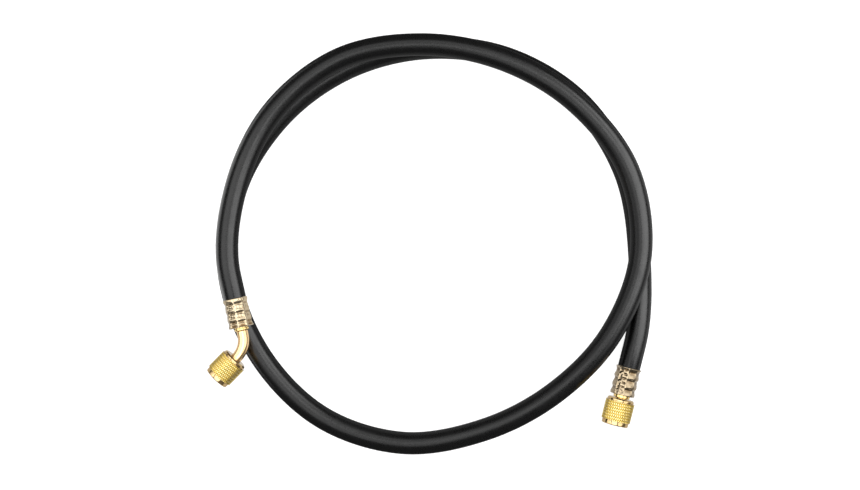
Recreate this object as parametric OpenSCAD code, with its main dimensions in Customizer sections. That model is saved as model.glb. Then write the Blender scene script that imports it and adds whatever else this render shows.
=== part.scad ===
// Refrigerant charging hose assembly, in millimetres with +Z up.
// A rubber hose lies in a loose coil of about one and two thirds turns. One end carries a
// swivel nut on a bent brass tube, the other a swivel nut on a straight stem.
// The origin is on the floor, under the middle of the whole assembly.

/* [Hose] */
// Outer diameter of the rubber cover
hose_d = 12.7; // [12.5:0.1:12.9]
// Outer diameter of the textile braid
braid_d = 9.8; // [9.5:0.1:10.1]
// Outer diameter of the inner rubber tube
inner_tube_d = 8.8; // [8.4:0.1:9.2]
// Outer diameter of the nylon barrier tube
barrier_d = 6.4; // [6.2:0.1:6.8]
// Bore of the hose
bore_d = 5.6; // [5.5:0.1:5.8]
// Diameter that the cover is crimped down to inside a ferrule
crimped_d = 11.3; // [11:0.1:11.4]

/* [Coil] */
// Clear gap between the upper and the lower turn
lay_gap = 0.5; // [0.45:0.05:0.6]
// Depth of the flat that the hose rests on
flat_depth = 1.27; // [1.2:0.01:1.4]
// Height of the bent end's axis
bent_axis_z = 19; // [18.8:0.1:20]
// Height of the straight end's axis
straight_axis_z = 8.6; // [8.5:0.1:9.5]

/* [Bent end] */
// Length of the crimped ferrule
bent_ferrule_l = 16.5; // [16:0.1:17.5]
// Outer diameter of the crimped ferrule
bent_ferrule_d = 13.4; // [13.2:0.1:13.8]
// Outer diameter of the brass tube
tube_d = 6.35; // [6:0.05:6.5]
// Wall thickness of the brass tube
tube_wall = 1; // [0.8:0.1:1.2]
// Angle that the tube turns through
bend_angle = 57; // [45:1:60]
// Radius of the tube's bend, to its centre line
bend_r = 14; // [12:0.5:14]
// Distance from the ferrule to the corner that the bend rounds off
corner_l = 12.1; // [12:0.1:14]
// Distance from that corner to the nut's rear face
nut_setback = 8; // [8:0.1:10]
// Outer diameter of the nut's knurled band
bent_nut_d = 15.9; // [15.6:0.1:16.5]
// Length of the nut's knurled band
bent_knurl_l = 11.4; // [11:0.1:12]

/* [Straight end] */
// Length of the crimped ferrule
straight_ferrule_l = 16; // [15.5:0.1:17]
// Outer diameter of the crimped ferrule
straight_ferrule_d = 13.8; // [13.6:0.1:14.2]
// Diameter of the stem's shoulder behind the nut
shoulder_d = 9.4; // [9:0.1:9.8]
// Length of the stem's shoulder behind the nut
shoulder_l = 1.6; // [1.4:0.1:2.5]
// Outer diameter of the nut's knurled band
straight_nut_d = 16.6; // [16.2:0.1:17]
// Length of the nut's knurled band
straight_knurl_l = 11; // [10.8:0.1:12]

/* [Nut thread] */
// Minor diameter of the nut's thread
thread_minor_d = 9.8; // [9.7:0.05:9.95]
// Diameter of the relief behind the thread
relief_d = 11.4; // [11:0.1:12]
// Radial running clearance of a nut on its neck
swivel_gap = 0.08; // [0.05:0.01:0.1]
// Axial play of a nut between its stops
end_play = 0.3; // [0.2:0.05:0.4]

/* [Hidden] */

$fn = 64;
rubber = [0.13, 0.13, 0.14];
textile = [0.85, 0.85, 0.8];
inner_rubber = [0.25, 0.25, 0.27];
nylon = [0.92, 0.9, 0.82];
brass = [0.86, 0.66, 0.22];
plated = [0.85, 0.78, 0.58];
seal = [0.1, 0.1, 0.1];

// ---- the coil's route ----
// The hose runs clockwise from the bent end. It passes one control point every coil_step
// degrees, each at its own distance from the coil's centre.
coil_centre = [1.8, 0.6];
coil_step = 24;
first_angle = 165;
coil_radii = [115.5, 117, 116.5, 112, 110.5, 112.5, 116.5, 116, 111.5, 108, 109, 114.5,
              117.5, 117.5, 118, 117, 113.5, 111.5, 111.5, 113.5, 115.5, 116, 117];
floor_z = hose_d / 2 - flat_depth;
upper_z = floor_z + hose_d + lay_gap;
rise_angles = [141, 189];       // the upper turn climbs to the bent end over these
descent_angles = [-8, -118];    // the upper turn comes down to the floor over these
lift_angles = [-363, -387];     // the lower turn lifts to the straight end over these

bent_mouth = [-109.9, -29.9, bent_axis_z];
bent_heading = -77.4;
straight_mouth = [112.3, -69.5, straight_axis_z];
straight_heading = -104.25;
straight_run = hose_d;          // free hose that runs straight out of each ferrule
end_wall = 1.5;                 // thickness of a ferrule's end wall

function along(heading) = [cos(heading), sin(heading), 0];
function ease(t) = let (u = max(0, min(1, t))) u * u * (3 - 2 * u);
function between(a, ends) = ease((a - ends[0]) / (ends[1] - ends[0]));
function coil_z(a) =
    upper_z + (bent_axis_z - upper_z) * between(a, rise_angles)
    + (floor_z - upper_z) * between(a, descent_angles)
    + (straight_axis_z - floor_z) * between(a, lift_angles);
function coil_point(i) = let (a = first_angle - i * coil_step, r = coil_radii[i])
    [coil_centre[0] + r * cos(a), coil_centre[1] + r * sin(a), coil_z(a)];

controls = concat([bent_mouth - straight_run * along(bent_heading)],
                  [for (i = [0 : len(coil_radii) - 1]) coil_point(i)],
                  [straight_mouth - straight_run * along(straight_heading)]);
last = len(controls) - 1;

// Direction and speed of the hose at a control point
function pull(i) =
    i == 0 ? -norm(controls[1] - controls[0]) * along(bent_heading)
    : i == last ? norm(controls[last] - controls[last - 1]) * along(straight_heading)
    : (controls[i + 1] - controls[i - 1]) / 2;
function curve(i, t) =
    (2 * t ^ 3 - 3 * t ^ 2 + 1) * controls[i] + (t ^ 3 - 2 * t ^ 2 + t) * pull(i)
    + (3 * t ^ 2 - 2 * t ^ 3) * controls[i + 1] + (t ^ 3 - t ^ 2) * pull(i + 1);

rings_per_step = 2;
free_points = concat(
    [for (i = [0 : last - 1], k = [0 : rings_per_step - 1]) curve(i, k / rings_per_step)],
    [controls[last]]);
bent_inner_end = bent_mouth + (bent_ferrule_l - end_wall) * along(bent_heading);
straight_inner_end =
    straight_mouth + (straight_ferrule_l - end_wall) * along(straight_heading);
route = concat([bent_inner_end, bent_mouth], free_points,
               [straight_mouth, straight_inner_end]);
turns_end = len(route) - 1;

// ---- checks printed with the model ----
function segment_gap(p, a, b) =
    let (d = b - a, t = max(0, min(1, (p - a) * d / (d * d)))) norm(p - a - t * d);
apart = 12; // rings along the hose that count as neighbours
least_gap = min([for (i = [0 : turns_end - apart], j = [i + apart : turns_end - 1])
                 segment_gap(route[i], route[j], route[j + 1])]) - hose_d;
free_length = norm(free_points[0] - bent_mouth)
    + norm(straight_mouth - free_points[len(free_points) - 1])
    + [for (i = [1 : len(free_points) - 1]) norm(free_points[i] - free_points[i - 1])]
      * [for (i = [1 : len(free_points) - 1]) 1];
echo(least_gap_between_turns = least_gap);
echo(free_hose_length = free_length);

// ---- hose layers ----
hose_sides = 10;

// Direction of the route at ring i
function heading(i) =
    let (d = route[min(i + 1, turns_end)] - route[max(i - 1, 0)]) d / norm(d);
function ring_direction(i) =
    i <= 2 ? -along(bent_heading)
    : i >= turns_end - 2 ? along(straight_heading)
    : heading(i);
// Points of ring i at one radius, with none of them below the floor
function ring(i, r) =
    let (d = ring_direction(i),
         side = cross(d, [0, 0, 1]) / norm(cross(d, [0, 0, 1])),
         up = cross(side, d))
    [for (k = [0 : hose_sides - 1])
        let (a = (k + 0.5) * 360 / hose_sides - 90,
             p = route[i] + r * (cos(a) * side + sin(a) * up))
        [p[0], p[1], max(p[2], 0)]];
// Rings along the whole hose. The cover steps in at each ferrule's mouth.
function loft(r, r_end) = concat(
    [ring(0, r_end), ring(1, r_end)],
    r == r_end ? [] : [ring(1, r)],
    [for (i = [2 : turns_end - 2]) ring(i, r)],
    r == r_end ? [] : [ring(turns_end - 1, r)],
    [ring(turns_end - 1, r_end), ring(turns_end, r_end)]);
// Two triangles for each facet between neighbouring rings
function wall(first, count, outward) = [
    for (j = [0 : count - 2], k = [0 : hose_sides - 1])
        let (a = first + j * hose_sides + k,
             b = first + j * hose_sides + (k + 1) % hose_sides,
             c = b + hose_sides, d = a + hose_sides)
        each outward ? [[a, b, c], [a, c, d]] : [[a, c, b], [a, d, c]]];
function end_cap(outer, inner, flip) = [
    for (k = [0 : hose_sides - 1])
        let (a = outer + k, b = outer + (k + 1) % hose_sides,
             c = inner + (k + 1) % hose_sides, d = inner + k)
        each flip ? [[a, c, b], [a, d, c]] : [[a, b, c], [a, c, d]]];

module hose_layer(outer_d, inner_d, end_d) {
    outer = loft(outer_d / 2, end_d / 2);
    inner = loft(inner_d / 2, inner_d / 2);
    first_inner = len(outer) * hose_sides;
    last_outer = first_inner - hose_sides;
    last_inner = first_inner + (len(inner) - 1) * hose_sides;
    polyhedron(points = [for (r = concat(outer, inner)) each r],
               faces = concat(wall(0, len(outer), true),
                              wall(first_inner, len(inner), false),
                              end_cap(0, first_inner, true),
                              end_cap(last_outer, last_inner, false)));
}

module hose_cover() { color(rubber) hose_layer(hose_d, braid_d, crimped_d); }
module hose_braid() { color(textile) hose_layer(braid_d, inner_tube_d, braid_d); }
module hose_inner_tube() { color(inner_rubber) hose_layer(inner_tube_d, barrier_d, inner_tube_d); }
module hose_barrier() { color(nylon) hose_layer(barrier_d, bore_d, barrier_d); }

// ---- turned pieces ----
// Each is drawn along +Z from the ferrule's mouth, then laid along its end's heading.
module laid(mouth, heading) { translate(mouth) rotate([0, 90, heading]) children(); }
module turned(outline) { rotate_extrude() polygon(outline); }

edge = 0.5;             // chamfer on outer edges
neck_d = 7.8;           // stem where it passes through a ferrule's end wall
ferrule_gap = 0.02;     // radial gap between the crimped cover and the ferrule
crimp_count = 8;        // crimping jaws leave this many ridges
ridge_w = 0.7;
ridge_rise = 0.1;       // the ridges stand this far out of the ferrule
ridge_lap = 0.4;        // and run this far past the grooves
mouth_band_l = 3;       // plain band at the hose side
groove_depth = 0.6;
groove_w = 1.7;
groove_pitch = 3.3;
groove_count = 3;

function groove(s, r) = [[r, s], [r - groove_depth, s + groove_w / 4],
                         [r - groove_depth, s + groove_w * 3 / 4], [r, s + groove_w]];
module ferrule(l, d) {
    bore_r = crimped_d / 2 + ferrule_gap;
    turned(concat([[bore_r, 0], [d / 2 - edge, 0], [d / 2, edge]],
                  [for (i = [0 : groove_count - 1])
                      each groove(mouth_band_l + i * groove_pitch, d / 2)],
                  [[d / 2, l - edge], [d / 2 - edge, l], [neck_d / 2, l],
                   [neck_d / 2, l - end_wall], [bore_r, l - end_wall]]));
    ridge_root_r = d / 2 - groove_depth - edge;
    for (i = [0 : crimp_count - 1])
        rotate(i * 360 / crimp_count)
            translate([ridge_root_r, -ridge_w / 2, mouth_band_l - ridge_lap])
                cube([d / 2 + ridge_rise - ridge_root_r, ridge_w,
                      (groove_count - 1) * groove_pitch + groove_w + 2 * ridge_lap]);
}

// Barbed tail that the hose is crimped on, up to the ferrule's end wall
tail_start = 1.2;
barb_d = 5.3;
barb_root_d = 4.5;
barb_pitch = 3;
barb_count = 4;
stem_bore_d = 3.2;
function barb(s) = [[barb_root_d / 2, s], [barb_d / 2, s + barb_pitch * 0.8],
                    [barb_root_d / 2, s + barb_pitch * 0.8]];
function tail(l) = concat(
    [[stem_bore_d / 2, tail_start]],
    [for (i = [0 : barb_count - 1]) each barb(tail_start + i * barb_pitch)],
    [[barb_root_d / 2, l - end_wall], [neck_d / 2, l - end_wall], [neck_d / 2, l]]);

// Swivel nut from its rear face, with a swaged back wall, a relief and a plain thread bore
back_wall = 4;
relief_l = 4.6;
mouth_chamfer = 0.7;
rear_rim_l = 1.9;
front_rim_l = 2.6;
rim_step = 0.65;        // the smooth rims are this much smaller in radius than the knurl
module swivel_nut(d, knurl_l, hole_d) {
    rim_r = d / 2 - rim_step;
    l = rear_rim_l + knurl_l + front_rim_l;
    turned([[hole_d / 2, 0], [rim_r - edge, 0], [rim_r, edge], [rim_r, rear_rim_l],
            [d / 2 - edge / 2, rear_rim_l], [d / 2, rear_rim_l + edge / 2],
            [d / 2, rear_rim_l + knurl_l - edge / 2], [d / 2 - edge / 2, rear_rim_l + knurl_l],
            [rim_r, rear_rim_l + knurl_l], [rim_r, l - edge], [rim_r - edge, l],
            [thread_minor_d / 2 + mouth_chamfer, l], [thread_minor_d / 2, l - mouth_chamfer],
            [thread_minor_d / 2, back_wall + relief_l], [relief_d / 2, back_wall + relief_l],
            [relief_d / 2, back_wall], [hole_d / 2, back_wall]]);
}

flange_d = 9.2;         // flange inside the nut, small enough to pass the thread
flange_l = 1.9;
gasket_l = 1.2;
gasket_bore_d = 5;
module gasket() {
    turned([[gasket_bore_d / 2, 0], [flange_d / 2, 0],
            [flange_d / 2, gasket_l], [gasket_bore_d / 2, gasket_l]]);
}

// ---- bent end ----
collar_d = 8.2;         // socket that the bent tube is brazed into
collar_l = 2.2;
socket_start = 0.2;
bent_corner = bent_mouth + (bent_ferrule_l + corner_l) * along(bent_heading);
nut_heading = bent_heading - bend_angle;
tangent_l = bend_r * tan(bend_angle / 2);
bent_flange_s = nut_setback + back_wall + end_play;
tube_end_s = bent_flange_s + 0.9;

module at_bent_end() { laid(bent_mouth, bent_heading) children(); }
module at_bent_nut() { laid(bent_corner, nut_heading) children(); }

module bent_end_ferrule() { color(plated) at_bent_end() ferrule(bent_ferrule_l, bent_ferrule_d); }

module bent_end_stem() {
    l = bent_ferrule_l;
    color(brass) at_bent_end()
        turned(concat(tail(l),
                      [[collar_d / 2, l], [collar_d / 2, l + collar_l],
                       [tube_d / 2, l + collar_l], [tube_d / 2, l + socket_start],
                       [stem_bore_d / 2, l + socket_start]]));
}

// The tube's straight ends and its bend, about the bend's centre. Bending thins the tube a
// little, and each straight end laps over the bend.
bend_thinning = 0.1;
lap = 0.3;
module tube_run(d) {
    translate([bend_r, -lap, 0]) rotate([-90, 0, 0])
        cylinder(d = d, h = corner_l - tangent_l - socket_start + lap);
    rotate([0, 0, -bend_angle]) {
        rotate_extrude(angle = bend_angle) translate([bend_r, 0]) circle(d = d - bend_thinning);
        translate([bend_r, lap, 0]) rotate([90, 0, 0])
            cylinder(d = d, h = tube_end_s - tangent_l + lap);
    }
}
module bent_end_tube() {
    color(brass)
        translate(bent_corner - tangent_l * along(bent_heading) + bend_r * along(bent_heading - 90))
            rotate([0, 0, bent_heading + 90])
                difference() {
                    tube_run(tube_d);
                    tube_run(tube_d - 2 * tube_wall);
                }
}

nose_bore_d = 4.35;
module bent_end_nose() {
    color(brass) at_bent_nut() translate([0, 0, bent_flange_s])
        turned([[tube_d / 2, 0], [flange_d / 2, 0], [flange_d / 2, flange_l],
                [nose_bore_d / 2, flange_l], [nose_bore_d / 2, tube_end_s - bent_flange_s],
                [tube_d / 2, tube_end_s - bent_flange_s]]);
}

module bent_end_gasket() {
    color(seal) at_bent_nut() translate([0, 0, bent_flange_s + flange_l]) gasket();
}

// Pin that opens the valve of the port, held by three arms in the nose
depressor_arm_w = 1;
depressor_arm_l = 0.8;
depressor_pin_d = 1.3;
depressor_reach = 1.8;
module bent_end_depressor() {
    start = tube_end_s + 0.1;
    color(brass) at_bent_nut() translate([0, 0, start]) {
        cylinder(d = depressor_pin_d, h = bent_flange_s + flange_l + depressor_reach - start);
        for (i = [0 : 2])
            rotate(i * 120) translate([0, -depressor_arm_w / 2, 0])
                cube([nose_bore_d / 2 - 0.1, depressor_arm_w, depressor_arm_l]);
    }
}

module bent_end_nut() {
    color(brass) at_bent_nut() translate([0, 0, nut_setback])
        swivel_nut(bent_nut_d, bent_knurl_l, tube_d + 2 * swivel_gap);
}

// ---- straight end ----
straight_neck_d = 7;
straight_nut_s = straight_ferrule_l + shoulder_l + end_play;
straight_flange_s = straight_nut_s + back_wall + end_play;

module at_straight_end() { laid(straight_mouth, straight_heading) children(); }

module straight_end_ferrule() {
    color(plated) at_straight_end() ferrule(straight_ferrule_l, straight_ferrule_d);
}

module straight_end_stem() {
    l = straight_ferrule_l;
    color(brass) at_straight_end()
        turned(concat(tail(l),
                      [[shoulder_d / 2, l], [shoulder_d / 2, l + shoulder_l],
                       [straight_neck_d / 2, l + shoulder_l],
                       [straight_neck_d / 2, straight_flange_s],
                       [flange_d / 2, straight_flange_s],
                       [flange_d / 2, straight_flange_s + flange_l],
                       [stem_bore_d / 2, straight_flange_s + flange_l]]));
}

module straight_end_gasket() {
    color(seal) at_straight_end() translate([0, 0, straight_flange_s + flange_l]) gasket();
}

module straight_end_nut() {
    color(brass) at_straight_end() translate([0, 0, straight_nut_s])
        swivel_nut(straight_nut_d, straight_knurl_l, straight_neck_d + 2 * swivel_gap);
}

hose_cover();
hose_braid();
hose_inner_tube();
hose_barrier();
bent_end_ferrule();
bent_end_stem();
bent_end_tube();
bent_end_nose();
bent_end_gasket();
bent_end_depressor();
bent_end_nut();
straight_end_ferrule();
straight_end_stem();
straight_end_gasket();
straight_end_nut();
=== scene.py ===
from math import acos, cos, exp, pi, radians, sin, tan

import bmesh
import bpy
from mathutils import Matrix, Vector, noise


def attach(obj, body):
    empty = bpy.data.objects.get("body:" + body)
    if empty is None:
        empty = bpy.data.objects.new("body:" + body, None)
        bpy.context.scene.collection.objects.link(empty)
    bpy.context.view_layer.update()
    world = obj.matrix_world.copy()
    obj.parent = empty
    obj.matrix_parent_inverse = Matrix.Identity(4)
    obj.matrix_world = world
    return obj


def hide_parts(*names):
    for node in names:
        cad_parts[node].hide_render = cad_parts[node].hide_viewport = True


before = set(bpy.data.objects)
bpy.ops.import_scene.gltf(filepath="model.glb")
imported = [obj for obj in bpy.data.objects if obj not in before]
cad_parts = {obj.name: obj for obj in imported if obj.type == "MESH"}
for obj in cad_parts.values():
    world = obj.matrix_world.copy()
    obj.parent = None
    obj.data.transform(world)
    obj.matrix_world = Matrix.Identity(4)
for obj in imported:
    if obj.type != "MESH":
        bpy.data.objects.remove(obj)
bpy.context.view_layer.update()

MM = 0.001
UP = Vector((0, 0, 1))

# ==== the hose's route, in millimetres
# The route repeats the construction's own: listed coil radii, one smooth curve through them.
# Every length outside the materials and the scene's setting is in millimetres.
HOSE_D = 12.7
BRAID_D = 9.8
INNER_TUBE_D = 8.8
BARRIER_D = 6.4
BORE_D = 5.6
CRIMPED_D = 11.3            # the cover's diameter under a ferrule
LAY_GAP = 0.5               # between one turn and the turn under it
FLAT_DEPTH = 1.27           # how far the underside is pressed flat on the floor
BENT_AXIS_Z = 19
STRAIGHT_AXIS_Z = 8.6
COIL_CENTRE = (1.8, 0.6)
COIL_STEP = 24
FIRST_ANGLE = 165
COIL_RADII = (115.5, 117, 116.5, 112, 110.5, 112.5, 116.5, 116, 111.5, 108, 109, 114.5,
              117.5, 117.5, 118, 117, 113.5, 111.5, 111.5, 113.5, 115.5, 116, 117)
FLOOR_Z = HOSE_D / 2 - FLAT_DEPTH
UPPER_Z = FLOOR_Z + HOSE_D + LAY_GAP
RISE_ANGLES = (141, 189)        # where the hose climbs to the bent end
DESCENT_ANGLES = (-8, -118)     # where it goes down from the upper turn to the floor
LIFT_ANGLES = (-363, -387)      # where it lifts to the straight end
BENT_HEADING = -77.4
STRAIGHT_HEADING = -104.25
BENT_MOUTH = Vector((-109.9, -29.9, BENT_AXIS_Z))
STRAIGHT_MOUTH = Vector((112.3, -69.5, STRAIGHT_AXIS_Z))
END_WALL = 1.5                  # a ferrule's closed end


def along(heading):
    """The level direction of a heading in degrees."""
    return Vector((cos(radians(heading)), sin(radians(heading)), 0))


def ease(t):
    u = max(0, min(1, t))
    return u * u * (3 - 2 * u)


def hermite(t, start, start_pull, end, end_pull):
    """The smooth way from start to end, leaving and arriving as the pulls say."""
    return ((2 * t**3 - 3 * t**2 + 1) * start + (t**3 - 2 * t**2 + t) * start_pull
            + (3 * t**2 - 2 * t**3) * end + (t**3 - t**2) * end_pull)


def between(angle, ends):
    """0 at the first end's angle and 1 at the second's, eased."""
    return ease((angle - ends[0]) / (ends[1] - ends[0]))


def coil_z(angle):
    """The height of the hose's axis at an angle of the coil."""
    return (UPPER_Z
            + (BENT_AXIS_Z - UPPER_Z) * between(angle, RISE_ANGLES)
            + (FLOOR_Z - UPPER_Z) * between(angle, DESCENT_ANGLES)
            + (STRAIGHT_AXIS_Z - FLOOR_Z) * between(angle, LIFT_ANGLES))


def coil_point(i):
    angle = FIRST_ANGLE - i * COIL_STEP
    turn = along(angle) * COIL_RADII[i]
    return Vector((COIL_CENTRE[0] + turn.x, COIL_CENTRE[1] + turn.y, coil_z(angle)))


def route_points(steps):
    """The free hose from the bent end's ferrule to the straight end's, steps to a span."""
    bent, straight = along(BENT_HEADING), along(STRAIGHT_HEADING)
    controls = ([BENT_MOUTH - HOSE_D * bent]
                + [coil_point(i) for i in range(len(COIL_RADII))]
                + [STRAIGHT_MOUTH - HOSE_D * straight])
    last = len(controls) - 1
    pulls = [(controls[min(i + 1, last)] - controls[max(i - 1, 0)]) / 2 for i in range(last + 1)]
    pulls[0] = -(controls[1] - controls[0]).length * bent
    pulls[last] = (controls[last] - controls[last - 1]).length * straight
    points = [BENT_MOUTH]
    for i in range(last):
        for k in range(steps):
            points.append(hermite(k / steps, controls[i], pulls[i], controls[i + 1], pulls[i + 1]))
    return points + [controls[last], STRAIGHT_MOUTH]


# ==== camera
CAMERA_HEIGHT = 0.9184
CAMERA_X = -0.0005
FIELD_OF_VIEW = radians(30)

camera_data = bpy.data.cameras.new("camera")
camera_data.sensor_fit = "HORIZONTAL"
camera_data.angle = FIELD_OF_VIEW
camera_data.clip_end = 50
camera = bpy.data.objects.new("camera", camera_data)
camera.location = (CAMERA_X, 0, CAMERA_HEIGHT)
bpy.context.collection.objects.link(camera)
bpy.context.scene.camera = camera


# ==== node helpers
FACTOR, COLOUR_A, COLOUR_B, COLOUR_OUT = 0, 6, 7, 2     # the Mix node's sockets for colours


def feed(tree, socket, value):
    """Links an output to the socket, or sets the socket to a plain value."""
    if isinstance(value, bpy.types.NodeSocket):
        tree.links.new(value, socket)
    else:
        socket.default_value = value


def add(tree, kind, inputs=None, **settings):
    """A node with its settings, and its inputs set to values or linked from outputs."""
    made = tree.nodes.new(kind)
    for key, value in settings.items():
        setattr(made, key, value)
    for key, value in (inputs or {}).items():
        feed(tree, made.inputs[key], value)
    return made


def calc(tree, operation, a, b=0.0):
    return add(tree, "ShaderNodeMath", {0: a, 1: b}, operation=operation).outputs[0]


def remap(tree, value, low, high, to_low=0.0, to_high=1.0):
    return add(tree, "ShaderNodeMapRange", {"Value": value, "From Min": low, "From Max": high,
               "To Min": to_low, "To Max": to_high}).outputs["Result"]


def vector(tree, x=0.0, y=0.0, z=0.0):
    return add(tree, "ShaderNodeCombineXYZ", {"X": x, "Y": y, "Z": z}).outputs[0]


def blend(tree, factor, a, b):
    """A mix of two colours, each an output or three numbers."""
    a, b = [colour if isinstance(colour, bpy.types.NodeSocket) else (*colour, 1) for colour in (a, b)]
    return add(tree, "ShaderNodeMix", {FACTOR: factor, COLOUR_A: a, COLOUR_B: b},
               data_type="RGBA").outputs[COLOUR_OUT]


def node_group(name, inputs, outputs):
    """A shader node group with float, vector and colour sockets."""
    tree = bpy.data.node_groups.new(name, "ShaderNodeTree")
    kinds = {"float": "NodeSocketFloat", "vector": "NodeSocketVector", "colour": "NodeSocketColor"}
    for socket, (kind, default) in inputs.items():
        made = tree.interface.new_socket(socket, in_out="INPUT", socket_type=kinds[kind])
        if default is not None:
            made.default_value = default
    for socket, kind in outputs.items():
        tree.interface.new_socket(socket, in_out="OUTPUT", socket_type=kinds[kind])
    return tree, tree.nodes.new("NodeGroupInput").outputs, tree.nodes.new("NodeGroupOutput")


def use(tree, group, **inputs):
    """The outputs of a shared effect, with its inputs named with _ for a space."""
    named = {key.replace("_", " "): value for key, value in inputs.items()}
    return add(tree, "ShaderNodeGroup", named, node_tree=group).outputs


# ==== shared effects
LINE_STRETCH = 0.02         # how slowly a line's noise changes along it


def make_grain():
    """Fine surface grain: a height and a mask from noise of a given size in metres."""
    tree, given, out = node_group("surface grain",
                                  {"Vector": ("vector", None), "Size": ("float", 0.0005),
                                   "Detail": ("float", 3.0)},
                                  {"Height": "float", "Mask": "float"})
    cloud = add(tree, "ShaderNodeTexNoise", {
        "Vector": given["Vector"], "Scale": calc(tree, "DIVIDE", 1.0, given["Size"]),
        "Detail": given["Detail"], "Roughness": 0.6}).outputs["Fac"]
    tree.links.new(cloud, out.inputs["Height"])
    tree.links.new(remap(tree, cloud, 0.35, 0.65), out.inputs["Mask"])
    return tree


def make_tarnish():
    """Metal colour that drifts between two tones in soft patches, and darkens with depth towards the
    second tone as painted shade in grooves.
    """
    tree, given, out = node_group("metal tone",
                                  {"Vector": ("vector", None), "Clean": ("colour", None),
                                   "Aged": ("colour", None), "Patch Size": ("float", 0.004),
                                   "Amount": ("float", 0.5), "Depth": ("float", 0.0)},
                                  {"Colour": "colour", "Roughness": "float"})
    cloud = add(tree, "ShaderNodeTexNoise", {
        "Vector": given["Vector"], "Scale": calc(tree, "DIVIDE", 1.0, given["Patch Size"]),
        "Detail": 4.0, "Roughness": 0.55}).outputs["Fac"]
    patch = calc(tree, "MULTIPLY", remap(tree, cloud, 0.4, 0.7), given["Amount"])
    # Deeper grooves take more of the second tone: painted shade, on top of the random patches.
    aged_and_shaded = calc(tree, "MAXIMUM", patch, given["Depth"])
    tree.links.new(blend(tree, aged_and_shaded, given["Clean"], given["Aged"]), out.inputs["Colour"])
    tree.links.new(remap(tree, aged_and_shaded, 0.0, 1.0, 0.0, 0.16), out.inputs["Roughness"])
    return tree


def make_tool_lines():
    """Fine rings left by a lathe, from the along-the-piece coordinate of a UV map."""
    tree, given, out = node_group("turning lines",
                                  {"UV": ("vector", None), "Pitch": ("float", 0.0002)},
                                  {"Height": "float"})
    place = add(tree, "ShaderNodeSeparateXYZ", {0: given["UV"]}).outputs
    stretched = vector(tree, calc(tree, "MULTIPLY", place["X"], LINE_STRETCH), place["Y"])
    lines = add(tree, "ShaderNodeTexNoise", {
        "Vector": stretched, "Scale": calc(tree, "DIVIDE", 1.0, given["Pitch"]), "Detail": 2.0})
    tree.links.new(lines.outputs["Fac"], out.inputs["Height"])
    return tree


GRAIN = make_grain()
TARNISH = make_tarnish()
TOOL_LINES = make_tool_lines()


# ==== materials
def new_material(name):
    made = bpy.data.materials.new(name)
    made.use_nodes = True
    tree = made.node_tree
    return made, tree, tree.nodes["Principled BSDF"]


def object_coordinates(tree):
    return add(tree, "ShaderNodeTexCoord").outputs["Object"]


def uv_coordinates(tree):
    return add(tree, "ShaderNodeUVMap", uv_map="surface").outputs["UV"]


def groove_depth(tree):
    """How deep in a groove or a knurl the surface is, from 0 on its crests to 1."""
    return add(tree, "ShaderNodeAttribute", attribute_name="groove").outputs["Fac"]


def dress(tree, shader, colour, roughness, height, bump_depth):
    """Feeds a shader its colour, its roughness and a bump from a height."""
    tree.links.new(colour, shader.inputs["Base Color"])
    tree.links.new(roughness, shader.inputs["Roughness"])
    bump = add(tree, "ShaderNodeBump", {"Height": height, "Distance": bump_depth, "Strength": 1.0})
    tree.links.new(bump.outputs["Normal"], shader.inputs["Normal"])


def hose_rubber():
    """Satin black rubber with a fine grain and faint lengthwise extrusion lines."""
    made, tree, shader = new_material("hose_rubber")
    place = object_coordinates(tree)
    grain = use(tree, GRAIN, Vector=place, Size=0.00045, Detail=2.0)
    coarse = use(tree, GRAIN, Vector=place, Size=0.006, Detail=3.0)
    parts = add(tree, "ShaderNodeSeparateXYZ", {0: uv_coordinates(tree)}).outputs
    drawn = vector(tree, parts["X"], calc(tree, "MULTIPLY", parts["Y"], LINE_STRETCH))
    lines = use(tree, GRAIN, Vector=drawn, Size=0.0008, Detail=2.0)
    colour = blend(tree, grain["Mask"], (0.001, 0.001, 0.0011), (0.0035, 0.0035, 0.0037))
    roughness = calc(tree, "ADD", remap(tree, coarse["Mask"], 0, 1, 0.25, 0.31),
                     remap(tree, grain["Mask"], 0, 1, -0.03, 0.05))
    height = calc(tree, "ADD", grain["Height"], calc(tree, "MULTIPLY", lines["Height"], 0.5))
    dress(tree, shader, colour, roughness, height, 0.000018)
    shader.inputs["Specular IOR Level"].default_value = 0.75
    return made


def plain_rubber(name, tone, roughness):
    """Matt black rubber with a fine grain, for what the cover and the nuts hide."""
    made, tree, shader = new_material(name)
    grain = use(tree, GRAIN, Vector=object_coordinates(tree), Size=0.0006, Detail=3.0)
    colour = blend(tree, grain["Mask"], (tone, tone, tone), (tone * 1.8, tone * 1.8, tone * 1.85))
    dress(tree, shader, colour, remap(tree, grain["Mask"], 0, 1, roughness, roughness + 0.12),
          grain["Height"], 0.00005)
    return made


def braid_textile():
    """Off-white yarn braided both ways round the hose."""
    made, tree, shader = new_material("braid_textile")
    yarn_width = 0.0013
    parts = add(tree, "ShaderNodeSeparateXYZ", {0: uv_coordinates(tree)}).outputs
    waves = []
    for sign in (1, -1):
        slanted = calc(tree, "ADD", parts["Y"], calc(tree, "MULTIPLY", parts["X"], sign))
        wave = calc(tree, "SINE", calc(tree, "MULTIPLY", slanted, pi / yarn_width))
        waves.append(calc(tree, "ABSOLUTE", wave))
    over = calc(tree, "MAXIMUM", *waves)
    dress(tree, shader, blend(tree, over, (0.4, 0.39, 0.36), (0.78, 0.77, 0.73)),
          remap(tree, over, 0, 1, 0.9, 0.75), over, 0.0002)
    return made


def nylon():
    """Milky nylon, slightly clouded."""
    made, tree, shader = new_material("barrier_nylon")
    cloud = use(tree, GRAIN, Vector=object_coordinates(tree), Size=0.003, Detail=3.0)
    dress(tree, shader, blend(tree, cloud["Mask"], (0.8, 0.77, 0.68), (0.88, 0.86, 0.79)),
          remap(tree, cloud["Mask"], 0, 1, 0.32, 0.45), cloud["Height"], 0.00002)
    return made


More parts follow.
